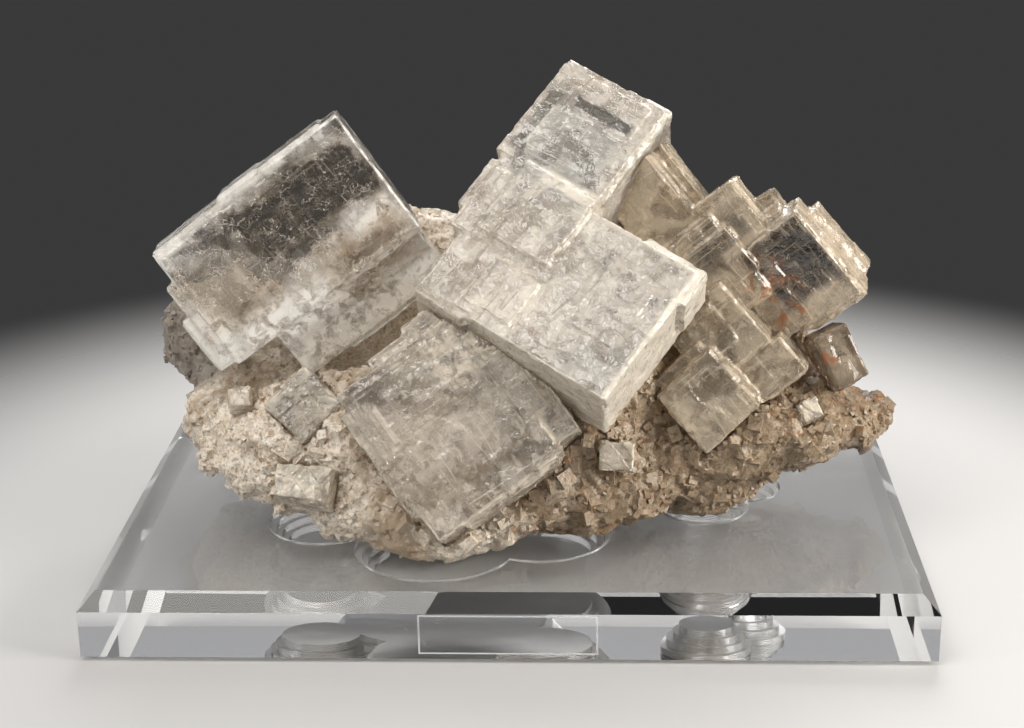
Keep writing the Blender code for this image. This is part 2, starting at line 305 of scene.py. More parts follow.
def sunk_depth(point, normal):
    """How far a point of a cube's surface lies below the face, in millimetres."""
    depth = 0.0
    bend = noise.noise(point / FACE_BEND_LENGTH) * FACE_BEND
    for number, (patch, step, share) in enumerate(CUBE_RELIEFS):
        cell = Vector([(point[i] + bend) / patch[i] + 7.3 * number for i in range(3)])
        calm = noise.noise(point / CALM_LENGTH + Vector((0, 0, 5.0 * number)))
        if noise.cell(cell) < share and calm > CALM_LEVEL:
            depth += step
    on_edge = sorted(abs(value) for value in normal)[1]
    if on_edge > EDGE_TILT:
        depth += EDGE_NIBBLE * max(0.0, noise.noise(point / NIBBLE_LENGTH) + NIBBLE_START)
    return depth


Ledge = namedtuple("Ledge", "right left depth")
FRONT_TILT = 0.7
LEDGE_RAMP = 0.7
LEDGE_WANDER = 1.2
LEDGE_WANDER_LENGTH = 6


def ledge_depth(point, normal, ledges):
    """Steps on the front face: each sinks a rectangle, whose ends to the right and left are in mm."""
    if normal.z < FRONT_TILT:
        return 0.0
    depth = 0.0
    for ledge in ledges:
        inside = min(
            point.x - ledge.right[0], ledge.right[1] - point.x,
            point.y - ledge.left[0], ledge.left[1] - point.y)
        inside += LEDGE_WANDER * noise.noise(point / LEDGE_WANDER_LENGTH)
        depth += ledge.depth * min(max(inside / LEDGE_RAMP, 0.0), 1.0)
    return depth


EDGE_GAIN = 4
EDGE_START = 0.8
SMOOTH_BELOW = math.radians(28)


def grow_surface(item, directions, net, ledges=(), strength=1.0):
    """Cut the surface into an even net along the cube's directions and let its patches sink."""
    to_scene = frame_of(directions)
    item.data.transform(to_scene.inverted())
    apply_modifier(item, "REMESH", mode="VOXEL", voxel_size=net, adaptivity=0)
    mesh = item.data
    normals = [vertex.normal.copy() for vertex in mesh.vertices]
    edge = mesh.attributes.new("edge", "FLOAT", "POINT")
    for number, (vertex, normal) in enumerate(zip(mesh.vertices, normals)):
        tilt = sorted(abs(value) for value in normal)[1]
        edge.data[number].value = min(max(tilt * EDGE_GAIN - EDGE_START, 0.0), 1.0)
        depth = strength * sunk_depth(vertex.co, normal) + ledge_depth(vertex.co, normal, ledges)
        vertex.co -= normal * depth
    mesh.transform(to_scene)
    only(item)
    bpy.ops.object.shade_smooth_by_angle(angle=SMOOTH_BELOW)
    print(item.name, "has", len(mesh.polygons), "faces")


# %% [markdown]
# ## A soft patch to place masks with
# One recipe dresses every cube, and masks say where the cube is clear, where white clouds float in it and
# where iron has stained it. A mask here is a rectangle in the cube's own directions, with a soft border
# that wanders with a noise. It is used dozens of times, so it is a node group: the nodes are built once.

# %% A soft rectangular patch, as a node group
def make_patch_group():
    """1 inside a rectangle of the cube's own frame, 0 outside, with a soft border that wanders."""
    group = bpy.data.node_groups.new("soft_patch", "ShaderNodeTree")
    for name in ("Where", "Centre", "Half"):
        group.interface.new_socket(name, in_out="INPUT", socket_type="NodeSocketVector")
    for name in ("Soft", "Wander", "Noise"):
        group.interface.new_socket(name, in_out="INPUT", socket_type="NodeSocketFloat")
    group.interface.new_socket("Mask", in_out="OUTPUT", socket_type="NodeSocketFloat")
    start = group.nodes.new("NodeGroupInput").outputs
    offset = add_node(
        group, "ShaderNodeVectorMath", {0: start["Where"], 1: start["Centre"]}, operation="SUBTRACT")
    size = add_node(group, "ShaderNodeVectorMath", {0: offset.outputs[0]}, operation="ABSOLUTE")
    past = add_node(
        group, "ShaderNodeVectorMath", {0: size.outputs[0], 1: start["Half"]}, operation="SUBTRACT")
    sides = add_node(group, "ShaderNodeSeparateXYZ", {0: past.outputs[0]}).outputs
    furthest = calculate(group, "MAXIMUM", sides[0], calculate(group, "MAXIMUM", sides[1], sides[2]))
    wander = calculate(group, "SUBTRACT", start["Noise"], 0.5)
    wander = calculate(group, "MULTIPLY", wander, start["Wander"])
    furthest = calculate(group, "ADD", furthest, wander)
    inner = calculate(group, "MULTIPLY", start["Soft"], -1.0)
    mask = fade(group, furthest, start["Soft"], inner)
    end = group.nodes.new("NodeGroupOutput")
    group.links.new(mask, end.inputs[0])
    return group


PATCH_GROUP = make_patch_group()
Patch = namedtuple("Patch", "centre half soft wander strength")
THROUGH = 99  # half depth of a patch that goes through the whole cube, in millimetres


def patch_mask(tree, where, wander, patch):
    node = add_node(tree, "ShaderNodeGroup", None, node_tree=PATCH_GROUP)
    tree.links.new(where, node.inputs["Where"])
    tree.links.new(wander, node.inputs["Noise"])
    constants = {"Centre": patch.centre, "Half": patch.half, "Soft": patch.soft, "Wander": patch.wander}
    for name, value in constants.items():
        node.inputs[name].default_value = value
    return calculate(tree, "MULTIPLY", node.outputs[0], patch.strength)


def all_patches(tree, where, wander, patches):
    """The strongest of several patches at each place."""
    total = 0.0
    for patch in patches:
        total = calculate(tree, "MAXIMUM", total, patch_mask(tree, where, wander, patch))
    return total


print("patch group has", len(PATCH_GROUP.nodes), "nodes")


# %% [markdown]
# ## Sums of masks
# Where two masks must both hold they are multiplied, and where either will do the strongest is taken. Short
# calls for these keep the recipe readable.

# %% Products, sums and the strongest of several values
def product(tree, *values):
    total = values[0]
    for value in values[1:]:
        total = calculate(tree, "MULTIPLY", total, value)
    return total


def strongest(tree, *values):
    total = values[0]
    for value in values[1:]:
        total = calculate(tree, "MAXIMUM", total, value)
    return total


def total_of(tree, *values):
    total = values[0]
    for value in values[1:]:
        total = calculate(tree, "ADD", total, value)
    return total


def inverse(tree, value):
    return calculate(tree, "SUBTRACT", 1.0, value, clamp=True)


print("sums of masks are ready")


# %% [markdown]
# ## Lines on a salt face
# Damp air etches curly lines into salt, and the cube splits along straight planes, which show as long thin
# lines. A drawn picture of them would repeat and blur close up. Noise does neither: where soft noise
# crosses its middle value it leaves a thin curly line, and noise drawn out along one direction of the cube
# leaves lines that run nearly straight.

# %% Creases, curls, seams and cracks
Salt = namedtuple(
    "Salt", "name directions body tint milk window clear clouds rims stains "
    "see_through haze frost bumps seams cracks coat")
Lines = namedtuple("Lines", "wide_crease fine_crease wide_curl fine_curl seam crack")

# scales in noise cells for each millimetre, widths in steps of the noise
WIDE_CREASE_SCALE = 0.17
FINE_CREASE_SCALE = 0.42
WIDE_CURL_WIDTH = 0.008
FINE_CURL_WIDTH = 0.02
SEAM_WIDTH = 0.012
UPWARD_SCALES = (0.09, 0.004, 0.05)
ACROSS_SCALES = (0.004, 0.09, 0.05)
LOW_FADE = (0.45, 0.40)
HIGH_FADE = (0.52, 0.56)


def in_cube_directions(tree, directions):
    """The place on the surface, in millimetres along the cube's own three directions."""
    turned = frame_of(directions)
    place = add_node(tree, "ShaderNodeTexCoord").outputs["Object"]
    mapping = add_node(tree, "ShaderNodeMapping", {"Vector": place}, vector_type="TEXTURE")
    mapping.inputs["Location"].default_value = turned.translation
    mapping.inputs["Rotation"].default_value = turned.to_euler()
    mapping.inputs["Scale"].default_value = (MM, MM, MM)
    return mapping.outputs[0]


def creases(tree, where, scale, detail, stretch=0.4):
    """0 where soft noise crosses its middle value, rising to both sides, as in crumpled foil."""
    height = cloud(tree, where, scale, detail, 0.62, stretch)
    return calculate(tree, "ABSOLUTE", calculate(tree, "SUBTRACT", height, 0.5))


def cleavage_lines(tree, where, stretch):
    """Noise drawn out along one direction of the cube, so that its lines run nearly straight."""
    drawn = add_node(tree, "ShaderNodeVectorMath", {0: where, 1: stretch}, operation="MULTIPLY")
    return fade(tree, creases(tree, drawn.outputs[0], 1.0, 1.0, 0.0), SEAM_WIDTH, 0.0)


def salt_lines(tree, where, salt):
    some = cloud(tree, where, 0.10, 0.0)
    others = cloud(tree, where, 0.16, 0.0)
    broad = cloud(tree, where, 0.045, 0.0)
    wide_crease = creases(tree, where, WIDE_CREASE_SCALE, 3.0)
    fine_crease = creases(tree, where, FINE_CREASE_SCALE, 2.0, 0.0)
    wide_curl = product(
        tree, fade(tree, wide_crease, WIDE_CURL_WIDTH, 0.0), fade(tree, some, 0.44, 0.54))
    fine_curl = product(
        tree, fade(tree, fine_crease, FINE_CURL_WIDTH, 0.0), fade(tree, others, 0.46, 0.58))
    upward = cleavage_lines(tree, where, UPWARD_SCALES)
    across = cleavage_lines(tree, where, ACROSS_SCALES)
    low, high = fade(tree, broad, *LOW_FADE), fade(tree, broad, *HIGH_FADE)
    seam = strongest(tree, product(tree, upward, high), product(tree, across, low))
    crack = strongest(tree, product(tree, upward, low), product(tree, across, high))
    crack = product(tree, crack, fade(tree, some, 0.42, 0.5), salt.cracks)
    return Lines(wide_crease, fine_crease, wide_curl, fine_curl, product(tree, seam, salt.seams), crack)


print("a salt recipe has", len(Salt._fields), "entries")


# %% [markdown]
# ## The salt recipe
# Salt with no bubbles is glass of index 1.544, and salt full of bubbles is white. A volume would show that
# best but renders slowly. Here one shader goes from glass to white by its Transmission Weight: the masks
# pick the clear windows, the snowy clouds, the white rims and the rusty stains. A thin glossy coat gives
# the white parts the wet shine of salt, and the creases carry the glints.

# %% Mix the salt
RUST = (0.36, 0.13, 0.045, 1)
CRACK_BROWN = (0.20, 0.13, 0.075, 1)
SALT_IOR = 1.544
COAT_ROUGHNESS = 0.08
WINDOW_ROUGHNESS = 0.04
WINDOW_CLEARNESS = 0.98

# strength of the bump, and how much of it a clear window takes away
FULL_BUMP = 0.9
WINDOW_CALM = 0.5

# heights of the relief, in millimetres
WIDE_CURL_HEIGHT = 0.12
FINE_CURL_HEIGHT = 0.05
SEAM_HEIGHT = 0.10
CRACK_DEPTH = 0.16
WIDE_CREASE_HEIGHT = 1.3
FINE_CREASE_HEIGHT = 0.6
SPECKLE_HEIGHT = 0.03

# the range of the noise over which each mark fades in
HAZE_FADE = (0.40, 0.58)
MILKY_FADE = (0.4, 0.6)
CLOUD_FADE = (0.35, 0.58)
WISP_FADE = (0.53, 0.63)
RIM_FADE = (0.2, 0.5)
EDGE_FADE = (0.36, 0.56)
STAIN_FADE = (0.5, 0.6)

# how white each mark is; the white of the curly lines is a painted glint
WIDE_CURL_PAINTED_GLINT = 0.8
FINE_CURL_PAINTED_GLINT = 0.4
SEAM_WHITE = 0.45
CLOUD_WHITE = 0.92
WISP_GAIN = 1.3
# the white of the edges is partly frosted, chipped salt and partly a painted highlight
EDGE_FROST_AND_PAINTED_HIGHLIGHT = 0.85
RIM_WHITE = 0.8
STAIN_WHITE = 0.6


def salt_relief(tree, where, lines, bumps):
    """The height of the fine relief, in millimetres."""
    return total_of(
        tree,
        product(tree, lines.wide_curl, WIDE_CURL_HEIGHT),
        product(tree, lines.fine_curl, FINE_CURL_HEIGHT),
        product(tree, lines.seam, SEAM_HEIGHT),
        product(tree, lines.crack, -CRACK_DEPTH),
        product(tree, lines.wide_crease, WIDE_CREASE_HEIGHT * bumps),
        product(tree, lines.fine_crease, FINE_CREASE_HEIGHT * bumps),
        product(tree, cloud(tree, where, 2.2, 0.0), SPECKLE_HEIGHT),
    )


def salt_material(salt):
    material = bpy.data.materials.new(salt.name)
    material.use_nodes = True
    tree = material.node_tree
    shader = tree.nodes["Principled BSDF"]
    where = in_cube_directions(tree, salt.directions)
    drift = cloud(tree, where, 0.055, 3.0, 0.6, 0.6)
    puffs = cloud(tree, where, 0.19, 4.0, 0.68, 0.5)
    lines = salt_lines(tree, where, salt)

    # where it is clear, cloudy, rimmed and stained
    clear = all_patches(tree, where, drift, salt.clear)
    clouds = all_patches(tree, where, drift, salt.clouds)
    clouds = product(tree, clouds, fade(tree, puffs, *CLOUD_FADE))
    rims = product(tree, all_patches(tree, where, drift, salt.rims), fade(tree, puffs, *RIM_FADE))
    # The edges are painted white: partly frosted, chipped salt, and partly a painted highlight where an edge
    # catches the light.
    edge = add_node(tree, "ShaderNodeAttribute", attribute_name="edge").outputs["Fac"]
    rims = strongest(tree, rims, product(tree, edge, fade(tree, puffs, *EDGE_FADE), EDGE_FROST_AND_PAINTED_HIGHLIGHT))
    crack = product(tree, lines.crack, inverse(tree, rims))
    stains = all_patches(tree, where, drift, salt.stains)
    stains = product(tree, stains, fade(tree, puffs, *STAIN_FADE))
    haze = product(tree, fade(tree, drift, *HAZE_FADE), salt.haze)
    wisps = product(tree, fade(tree, puffs, *WISP_FADE), inverse(tree, clear), salt.haze * WISP_GAIN)
    # Painted glints: the curly lines are painted white where light glints on their steps. The seams are
    # painted white as pale lines in the salt.
    white_seams_and_painted_glints = strongest(
        tree, product(tree, lines.wide_curl, WIDE_CURL_PAINTED_GLINT),
        product(tree, lines.fine_curl, FINE_CURL_PAINTED_GLINT), product(tree, lines.seam, SEAM_WHITE))
    white = strongest(
        tree, white_seams_and_painted_glints, product(tree, clouds, CLOUD_WHITE), wisps, crack,
        product(tree, rims, RIM_WHITE), product(tree, stains, STAIN_WHITE))

    # how much light goes through
    through = strongest(
        tree, product(tree, inverse(tree, haze), salt.see_through),
        product(tree, clear, WINDOW_CLEARNESS))
    through = product(tree, through, inverse(tree, white))
    tree.links.new(through, shader.inputs["Transmission Weight"])

    # colour
    milky = strongest(tree, fade(tree, drift, *MILKY_FADE), clouds, wisps)
    colour = blend_colours(tree, milky, salt.body, salt.milk)
    colour = blend_colours(tree, fade(tree, through, 0.1, 0.8), colour, salt.tint)
    colour = blend_colours(tree, clear, colour, salt.window)
    painted_glints_seams_and_rims = strongest(tree, product(tree, white_seams_and_painted_glints, 0.8), rims)
    colour = blend_colours(tree, painted_glints_seams_and_rims, colour, salt.milk)
    colour = blend_colours(tree, product(tree, crack, 0.85), colour, CRACK_BROWN)
    colour = blend_colours(tree, stains, colour, RUST)
    tree.links.new(colour, shader.inputs["Base Color"])

    # gloss and fine relief, both calmer in a clear window
    polish = product(tree, clear, salt.frost - WINDOW_ROUGHNESS)
    rough = calculate(tree, "SUBTRACT", salt.frost, polish)
    rough = calculate(tree, "ADD", rough, product(tree, white, 0.12))
    tree.links.new(rough, shader.inputs["Roughness"])
    shader.inputs["IOR"].default_value = SALT_IOR
    shader.inputs["Coat Weight"].default_value = salt.coat
    shader.inputs["Coat Roughness"].default_value = COAT_ROUGHNESS
    calm = calculate(tree, "SUBTRACT", FULL_BUMP, product(tree, clear, WINDOW_CALM))
    relief = salt_relief(tree, where, lines, salt.bumps)
    bump = add_node(tree, "ShaderNodeBump", {"Height": relief, "Strength": calm, "Distance": MM})
    tree.links.new(bump.outputs[0], shader.inputs["Normal"])
    tree.links.new(bump.outputs[0], shader.inputs["Coat Normal"])
    print(salt.name, "has", len(tree.nodes), "nodes")
    return material


# %% [markdown]
# ## The left cube
# The left cube is the clearest one: a dark window in its upper half, white clouds of tiny bubbles in its
# lower half, and a frosted band along its upper left edge. Its front is nearly smooth, so its steps are
# kept at half strength and four wide ledges are listed.

# %% Dress the left cube
PALE_BEIGE = (0.66, 0.56, 0.44, 1)
CLEAR_TINT = (0.96, 0.92, 0.86, 1)
SNOW = (0.93, 0.90, 0.84, 1)
# Painted shade: the clear patches of the left cube take a warm tint that is darkened, so that the lump seen
# through them looks shaded.
WINDOW_TINT_AND_PAINTED_SHADE = (0.74, 0.65, 0.54, 1)

left_salt = Salt(
    name="clear_left_salt", directions=LEFT_CUBE,
    body=PALE_BEIGE, tint=CLEAR_TINT, milk=SNOW, window=WINDOW_TINT_AND_PAINTED_SHADE,
    clear=[
        Patch((16, 17, 0), (31, 15, THROUGH), 4, 22, 1.0),
        Patch((-24, 10, 0), (24, 16, THROUGH), 5, 20, 0.85),
        Patch((24, -16, 0), (22, 12, THROUGH), 5, 20, 0.9),
        Patch((-4, -40, 0), (36, 9, THROUGH), 5, 20, 0.6),
    ],
    clouds=[
        Patch((-14, -18, 0), (24, 9, THROUGH), 6, 24, 1.0),
        Patch((-44, -6, 0), (7, 14, THROUGH), 5, 20, 0.9),
        Patch((34, -4, 0), (10, 4, THROUGH), 4, 14, 1.0),
        Patch((4, -36, 0), (44, 8, THROUGH), 5, 18, 0.9),
    ],
    rims=[
        Patch((-16, 39, 0), (36, 4.5, THROUGH), 1.5, 7, 0.75),
        Patch((-42, 38, 0), (10, 6, THROUGH), 1.5, 5, 1.0),
        Patch((-52, 8, 0), (2.5, 40, THROUGH), 2, 6, 0.8),
    ],
    stains=[],
    see_through=0.97, haze=0.28, frost=0.09, bumps=0.55, seams=0.35, cracks=0.3, coat=0.6,
)
left_cube = merged_copy("left_crystal", "left_cube")
grow_surface(left_cube, LEFT_CUBE, 0.9, [
    Ledge((-70, -16), (-23, 28), 0.35), Ledge((-5, 60), (-70, -28.5), 0.5),
    Ledge((-70, 10), (33, 60), 0.7), Ledge((-30, 2), (-70, -26), 0.3),
], strength=0.5)
left_cube.data.materials.append(salt_material(left_salt))
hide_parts("left_crystal")
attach(left_cube, "root")


# %% [markdown]
# ## The main cubes
# Three frosted cubes grow out of each other in the middle. The top one has two narrow clear strips, and the
# front one is whitest on its side faces. They grew as one crystal, so one recipe and one set of directions
# serve all three, and the patches are simply placed further out for the top cube.

# %% Dress the main cubes
main_salt = Salt(
    name="frosted_main_salt", directions=FRONT_CUBE,
    body=(0.60, 0.49, 0.385, 1), tint=(0.93, 0.86, 0.76, 1), milk=(0.80, 0.73, 0.62, 1),
    window=(0.47, 0.47, 0.44, 1),
    clear=[
        Patch((59, 48, 0), (15, 2.8, THROUGH), 1.0, 6, 1.0),
        Patch((74, 26, 0), (2.8, 14, THROUGH), 1.0, 6, 1.0),
        Patch((-22, -34, 0), (9, 12, THROUGH), 6, 12, 0.45),
        Patch((55, 30, 0), (20, 17, THROUGH), 5, 14, 0.6),
        Patch((2, -24, 0), (26, 20, THROUGH), 5, 16, 0.22),
    ],
    clouds=[
        Patch((-14, -6, 0), (14, 22, THROUGH), 8, 20, 0.55),
        Patch((8, -26, 0), (18, 14, THROUGH), 8, 20, 0.5),
    ],
    rims=[
        Patch((38, -14, 0), (4, 44, THROUGH), 1.5, 5, 0.9),
        Patch((4, -52, -20), (42, 8, THROUGH), 1.0, 3, 1.1),
        Patch((-38, -2, -20), (8, 50, THROUGH), 1.0, 3, 0.9),
    ],
    stains=[],
    see_through=0.86, haze=0.36, frost=0.2, bumps=0.85, seams=1.0, cracks=0.8, coat=0.6,
)
main_cubes = merged_copy("main_crystals", "main_cubes")
grow_surface(main_cubes, FRONT_CUBE, 0.95, [
    Ledge((17, 60), (-60, 4), 0.4), Ledge((-60, 1), (-60, 17), 0.35), Ledge((-60, 17), (30, 60), 0.6),
    Ledge((18, 34), (5, 29), 0.5), Ledge((-16, 8), (22, 33), 0.4),
])
main_cubes.data.materials.append(salt_material(main_salt))
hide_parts("main_crystals")
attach(main_cubes, "root")


# %% [markdown]
# ## The lower cube
# The lower cube is grey-beige and half clear, crossed by many fine step lines. Its right edge comes down in
# three low ledges, which are given as strips that overlap: each one sinks what it covers a little more.

# %% Dress the lower cube
lower_salt = Salt(
    name="hazy_lower_salt", directions=LOWER_CUBE,
    body=(0.36, 0.285, 0.205, 1), tint=(0.86, 0.78, 0.66, 1), milk=(0.66, 0.58, 0.47, 1),
    window=(0.86, 0.77, 0.66, 1),
    clear=[
        Patch((-20, 24, 0), (7, 12, THROUGH), 3, 12, 0.8),
        Patch((-10, -14, 0), (18, 14, THROUGH), 6, 20, 0.7),
    ],
    clouds=[
        Patch((-4, -6, 0), (30, 8, THROUGH), 6, 24, 0.35),
        Patch((22, 24, 0), (17, 17, THROUGH), 5, 12, 1.0),
    ],
    rims=[Patch((0, 42, 0), (60, 4, THROUGH), 2, 8, 0.9)],
    stains=[],
    see_through=0.94, haze=0.28, frost=0.14, bumps=0.85, seams=1.0, cracks=0.5, coat=0.6,
)
lower_cube = merged_copy("lower_crystal", "lower_cube")
grow_surface(lower_cube, LOWER_CUBE, 0.85, [
    Ledge((20, 60), (-60, 60), 0.35), Ledge((23.5, 60), (-60, 60), 0.4), Ledge((27, 60), (-60, 60), 0.4),
    Ledge((-60, 15), (-60, 1), 0.4), Ledge((-14, 16), (12, 60), 0.5), Ledge((-60, 60), (-60, -24), 0.3),
])
lower_cube.data.materials.append(salt_material(lower_salt))
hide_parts("lower_crystal")
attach(lower_cube, "root")


# %% [markdown]
# ## The right-hand cubes
# On the right a staircase of smaller cubes leans back. One of them is a dark clear window with specks of
# rust in it, and the ones around it are brownish and cloudy. The three groups share most of a recipe, so
# the second and third are copies of the first with a few entries changed.

# %% Dress the right-hand cubes
right_salt = Salt(
    name="smoky_right_salt", directions=RIGHT_CUBES,
    body=(0.36, 0.26, 0.16, 1), tint=(0.85, 0.73, 0.55, 1), milk=(0.66, 0.54, 0.40, 1),
    window=(0.27, 0.24, 0.20, 1),
    clear=[
        Patch((3, 4, 0), (14, 16, THROUGH), 2.5, 7, 1.0),
        Patch((-22, 28, 0), (6, 8, THROUGH), 3, 10, 0.8),
        Patch((-9, 29, 0), (9, 10, THROUGH), 3, 8, 0.7),
    ],
    clouds=[],
    rims=[
        Patch((19.5, 0, 0), (2.2, 26, THROUGH), 1.2, 4, 0.8),
        Patch((2, 23, 0), (18, 2.2, THROUGH), 1.2, 4, 0.7),
    ],
    stains=[Patch((-8, -2, 0), (10, 14, THROUGH), 4, 10, 0.9)],
    see_through=0.88, haze=0.36, frost=0.18, bumps=0.8, seams=1.0, cracks=0.5, coat=0.6,
)
low_right_salt = right_salt._replace(
    name="silvery_low_right_salt", directions=LOW_RIGHT_CUBES, body=(0.44, 0.33, 0.21, 1),
    window=(0.86, 0.76, 0.60, 1),
    clear=[Patch((0, 4, 0), (12, 10, THROUGH), 5, 14, 0.6)],
    clouds=[Patch((-11, 2, 0), (4, 12, THROUGH), 3, 10, 0.8)],
    rims=[], stains=[],
)
far_right_salt = right_salt._replace(
    name="grey_far_right_salt", directions=FAR_RIGHT_CUBE, body=(0.09, 0.06, 0.038, 1),
    tint=(0.40, 0.30, 0.20, 1), milk=(0.17, 0.125, 0.08, 1), window=(0.5, 0.42, 0.32, 1),
    clear=[Patch((0, 0, 0), (6, 9, THROUGH), 4, 10, 0.7)],
    rims=[], stains=[Patch((-6, 3, 0), (4, 5, THROUGH), 3, 8, 0.9)], coat=0.0, bumps=0.4,
)

for node, name, salt, net in (
    ("right_crystals", "right_cubes", right_salt, 0.8),
    ("low_right_crystals", "low_right_cubes", low_right_salt, 0.8),
    ("far_right_crystal", "far_right_cube", far_right_salt, 0.7),
):
    item = merged_copy(node, name)
    grow_surface(item, salt.directions, net)
    item.data.materials.append(salt_material(salt))
    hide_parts(node)
    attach(item, "root")


# %% [markdown]
# ## The single small cubes
# A few single cubes stick out of the granular salt, half sunk in it. Eight recipes would look no better than
# one at their size, so they share one.

# %% Dress the small cubes
small_salt = right_salt._replace(
    name="hazy_small_salt", directions=LOW_RIGHT_CUBES, body=(0.68, 0.57, 0.44, 1),
    tint=(0.95, 0.87, 0.74, 1), milk=(0.84, 0.74, 0.60, 1), clear=[], rims=[], stains=[],
    see_through=0.94, haze=0.32, seams=0.4, cracks=0.0,
)
small_material = salt_material(small_salt)
for node in sorted(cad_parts):
    if not node.startswith("small_cube"):
        continue
    item = merged_copy(node, node + "_grown")
    grow_surface(item, small_salt.directions, 0.7, strength=1.5)
    item.data.materials.append(small_material)
    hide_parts(node)
    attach(item, "root")


# %% [markdown]
# ## The granular salt
# The lump under the cubes is made of thousands of small salt grains, pressed together, with brown and rusty
# dirt between them, and the hollows of its fine relief are painted darker as painted shade. Sculpting each
# grain would take days, so the surface is remeshed and pushed in and out block by block: a Voronoi pattern
# with square cells says how high each block stands.

# %% Roughen the lump
LUMP_NET = 1.4
BLOCK_SIZE = 4.5
BLOCK_RELIEF = 1.1
BLOCK_MIDDLE = 0.6
GROOVE_RELIEF = 0.5
GROOVE_WIDTH = 0.35
GROOVE_MIDDLE = 0.3
FINE_RELIEF = 0.35
FINE_LENGTH = 1.8
BEND_LENGTH = 14
BEND_AMOUNT = 2
BEND_SHIFTS = (0, 20, 40)
BLOCK_TURN = Matrix.Rotation(0.6, 3, Vector((1, 1, 0.4)).normalized())

lump = merged_copy("matrix", "granular_lump")
lump.data.transform(Matrix.Scale(1 / MM, 4))
apply_modifier(lump, "REMESH", mode="VOXEL", voxel_size=LUMP_NET, adaptivity=0)
mesh = lump.data
normals = [vertex.normal.copy() for vertex in mesh.vertices]
for vertex, normal in zip(mesh.vertices, normals):
    bent = BLOCK_TURN @ vertex.co
    bent += Vector([
        BEND_AMOUNT * noise.noise(vertex.co / BEND_LENGTH + Vector((0, 0, shift))) for shift in BEND_SHIFTS])
    distances, points = noise.voronoi(bent / BLOCK_SIZE, distance_metric="CHEBYCHEV")
    block = noise.cell(points[0] * 7.7) - BLOCK_MIDDLE
    groove = min(distances[1] - distances[0], GROOVE_WIDTH) - GROOVE_MIDDLE
    fine = noise.noise(vertex.co / FINE_LENGTH)
    height = BLOCK_RELIEF * block + GROOVE_RELIEF * groove / GROOVE_WIDTH + FINE_RELIEF * fine
    vertex.co += normal * height
mesh.transform(Matrix.Scale(MM, 4))
print("lump faces:", len(mesh.polygons))

# %% [markdown]
# ## Grains set into the lump
# The lump bristles with little cubes, most of them smaller than a rice grain, and they crowd where a large
# cube grows out of it. Placing thousands by hand is hopeless, and a particle system is lost when a model is
# exported. So one small cube is copied in code to places drawn by chance on the lump, each turned its own
# way and sunk until little more than its corners show. A fixed seed gives the same lump every time.

# %% Set small cubes into it
GRAIN_SEED = 5
GRAIN_COUNT = 4600
GRAIN_SIZES = (1.5, 7.0)
GRAIN_SUNK = 0.62
GRAIN_SKEW = 2.4
GRAIN_SQUASH = (0.7, 1.1)
ROOT_TRIES = 15000
ROOT_REACH = 3.5 * MM
LOWEST_SEAT = 31 * MM

bpy.ops.object.select_all(action="DESELECT")
bpy.ops.mesh.primitive_cube_add(size=1)
one_grain = bpy.context.object
corners = [vertex.co.copy() for vertex in one_grain.data.vertices]
sides = [tuple(polygon.vertices) for polygon in one_grain.data.polygons]
bpy.data.objects.remove(one_grain)


def random_seats(draw, mesh, count):
    """Places spread evenly over a surface, each with the direction that it faces."""
    seats = []
    for polygon in draw.choices(mesh.polygons, [polygon.area for polygon in mesh.polygons], k=count):
        first, second, third = [mesh.vertices[index].co for index in polygon.vertices[:3]]
        along, up = draw.random(), draw.random()
        if along + up > 1:
            along, up = 1 - along, 1 - up
        seat = first + (second - first) * along + (third - first) * up
        if seat.z > LOWEST_SEAT:
            seats.append((seat, polygon.normal))
    return seats


def tree_of_cubes():
    """One search tree of all the larger cubes, to find what lies close to them."""
    places, triangles = [], []
    for name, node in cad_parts.items():
        if "crystal" in name or "cube" in name:
            start = len(places)
            places += [vertex.co for vertex in node.data.vertices]
            for polygon in node.data.polygons:
                triangles.append([start + index for index in polygon.vertices])
    return BVHTree.FromPolygons(places, triangles)


draw = random.Random(GRAIN_SEED)
plain_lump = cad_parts["matrix"].data
cubes = tree_of_cubes()
seats = random_seats(draw, plain_lump, GRAIN_COUNT)
seats += [
    seat for seat in random_seats(draw, plain_lump, ROOT_TRIES)
    if cubes.find_nearest(seat[0], ROOT_REACH)[0]]
points, faces = [], []
for seat, facing in seats:
    size = MM * GRAIN_SIZES[0] * (GRAIN_SIZES[1] / GRAIN_SIZES[0]) ** (draw.random() ** GRAIN_SKEW)
    angle = draw.uniform(0, math.tau)
    axis = Vector([draw.gauss(0, 1) for _ in range(3)]).normalized()
    turn = Matrix.Rotation(angle, 4, axis)
    shape = Matrix.Diagonal([size * draw.uniform(*GRAIN_SQUASH) for _ in range(3)] + [1])
    place = Matrix.Translation(seat - facing * size * GRAIN_SUNK) @ turn @ shape
    faces += [[len(points) + index for index in side] for side in sides]
    points += [place @ corner for corner in corners]
grain_mesh = bpy.data.meshes.new("salt_grains")
grain_mesh.from_pydata(points, [], faces)
print("grains:", len(seats))
salt_grains = bpy.data.objects.new("salt_grains", grain_mesh)
bpy.context.scene.collection.objects.link(salt_grains)
print("grain faces:", len(grain_mesh.polygons))


# %% [markdown]
# ## The granular material
# Each grain is a slightly different beige. Rust gathers in some hollows and white powder in others, the
# right half is painted darker and browner as painted shade, and the back of the lump at the left is grey.
# The lump and the grains share the recipe, so a grain takes the colour of the place where it sits.

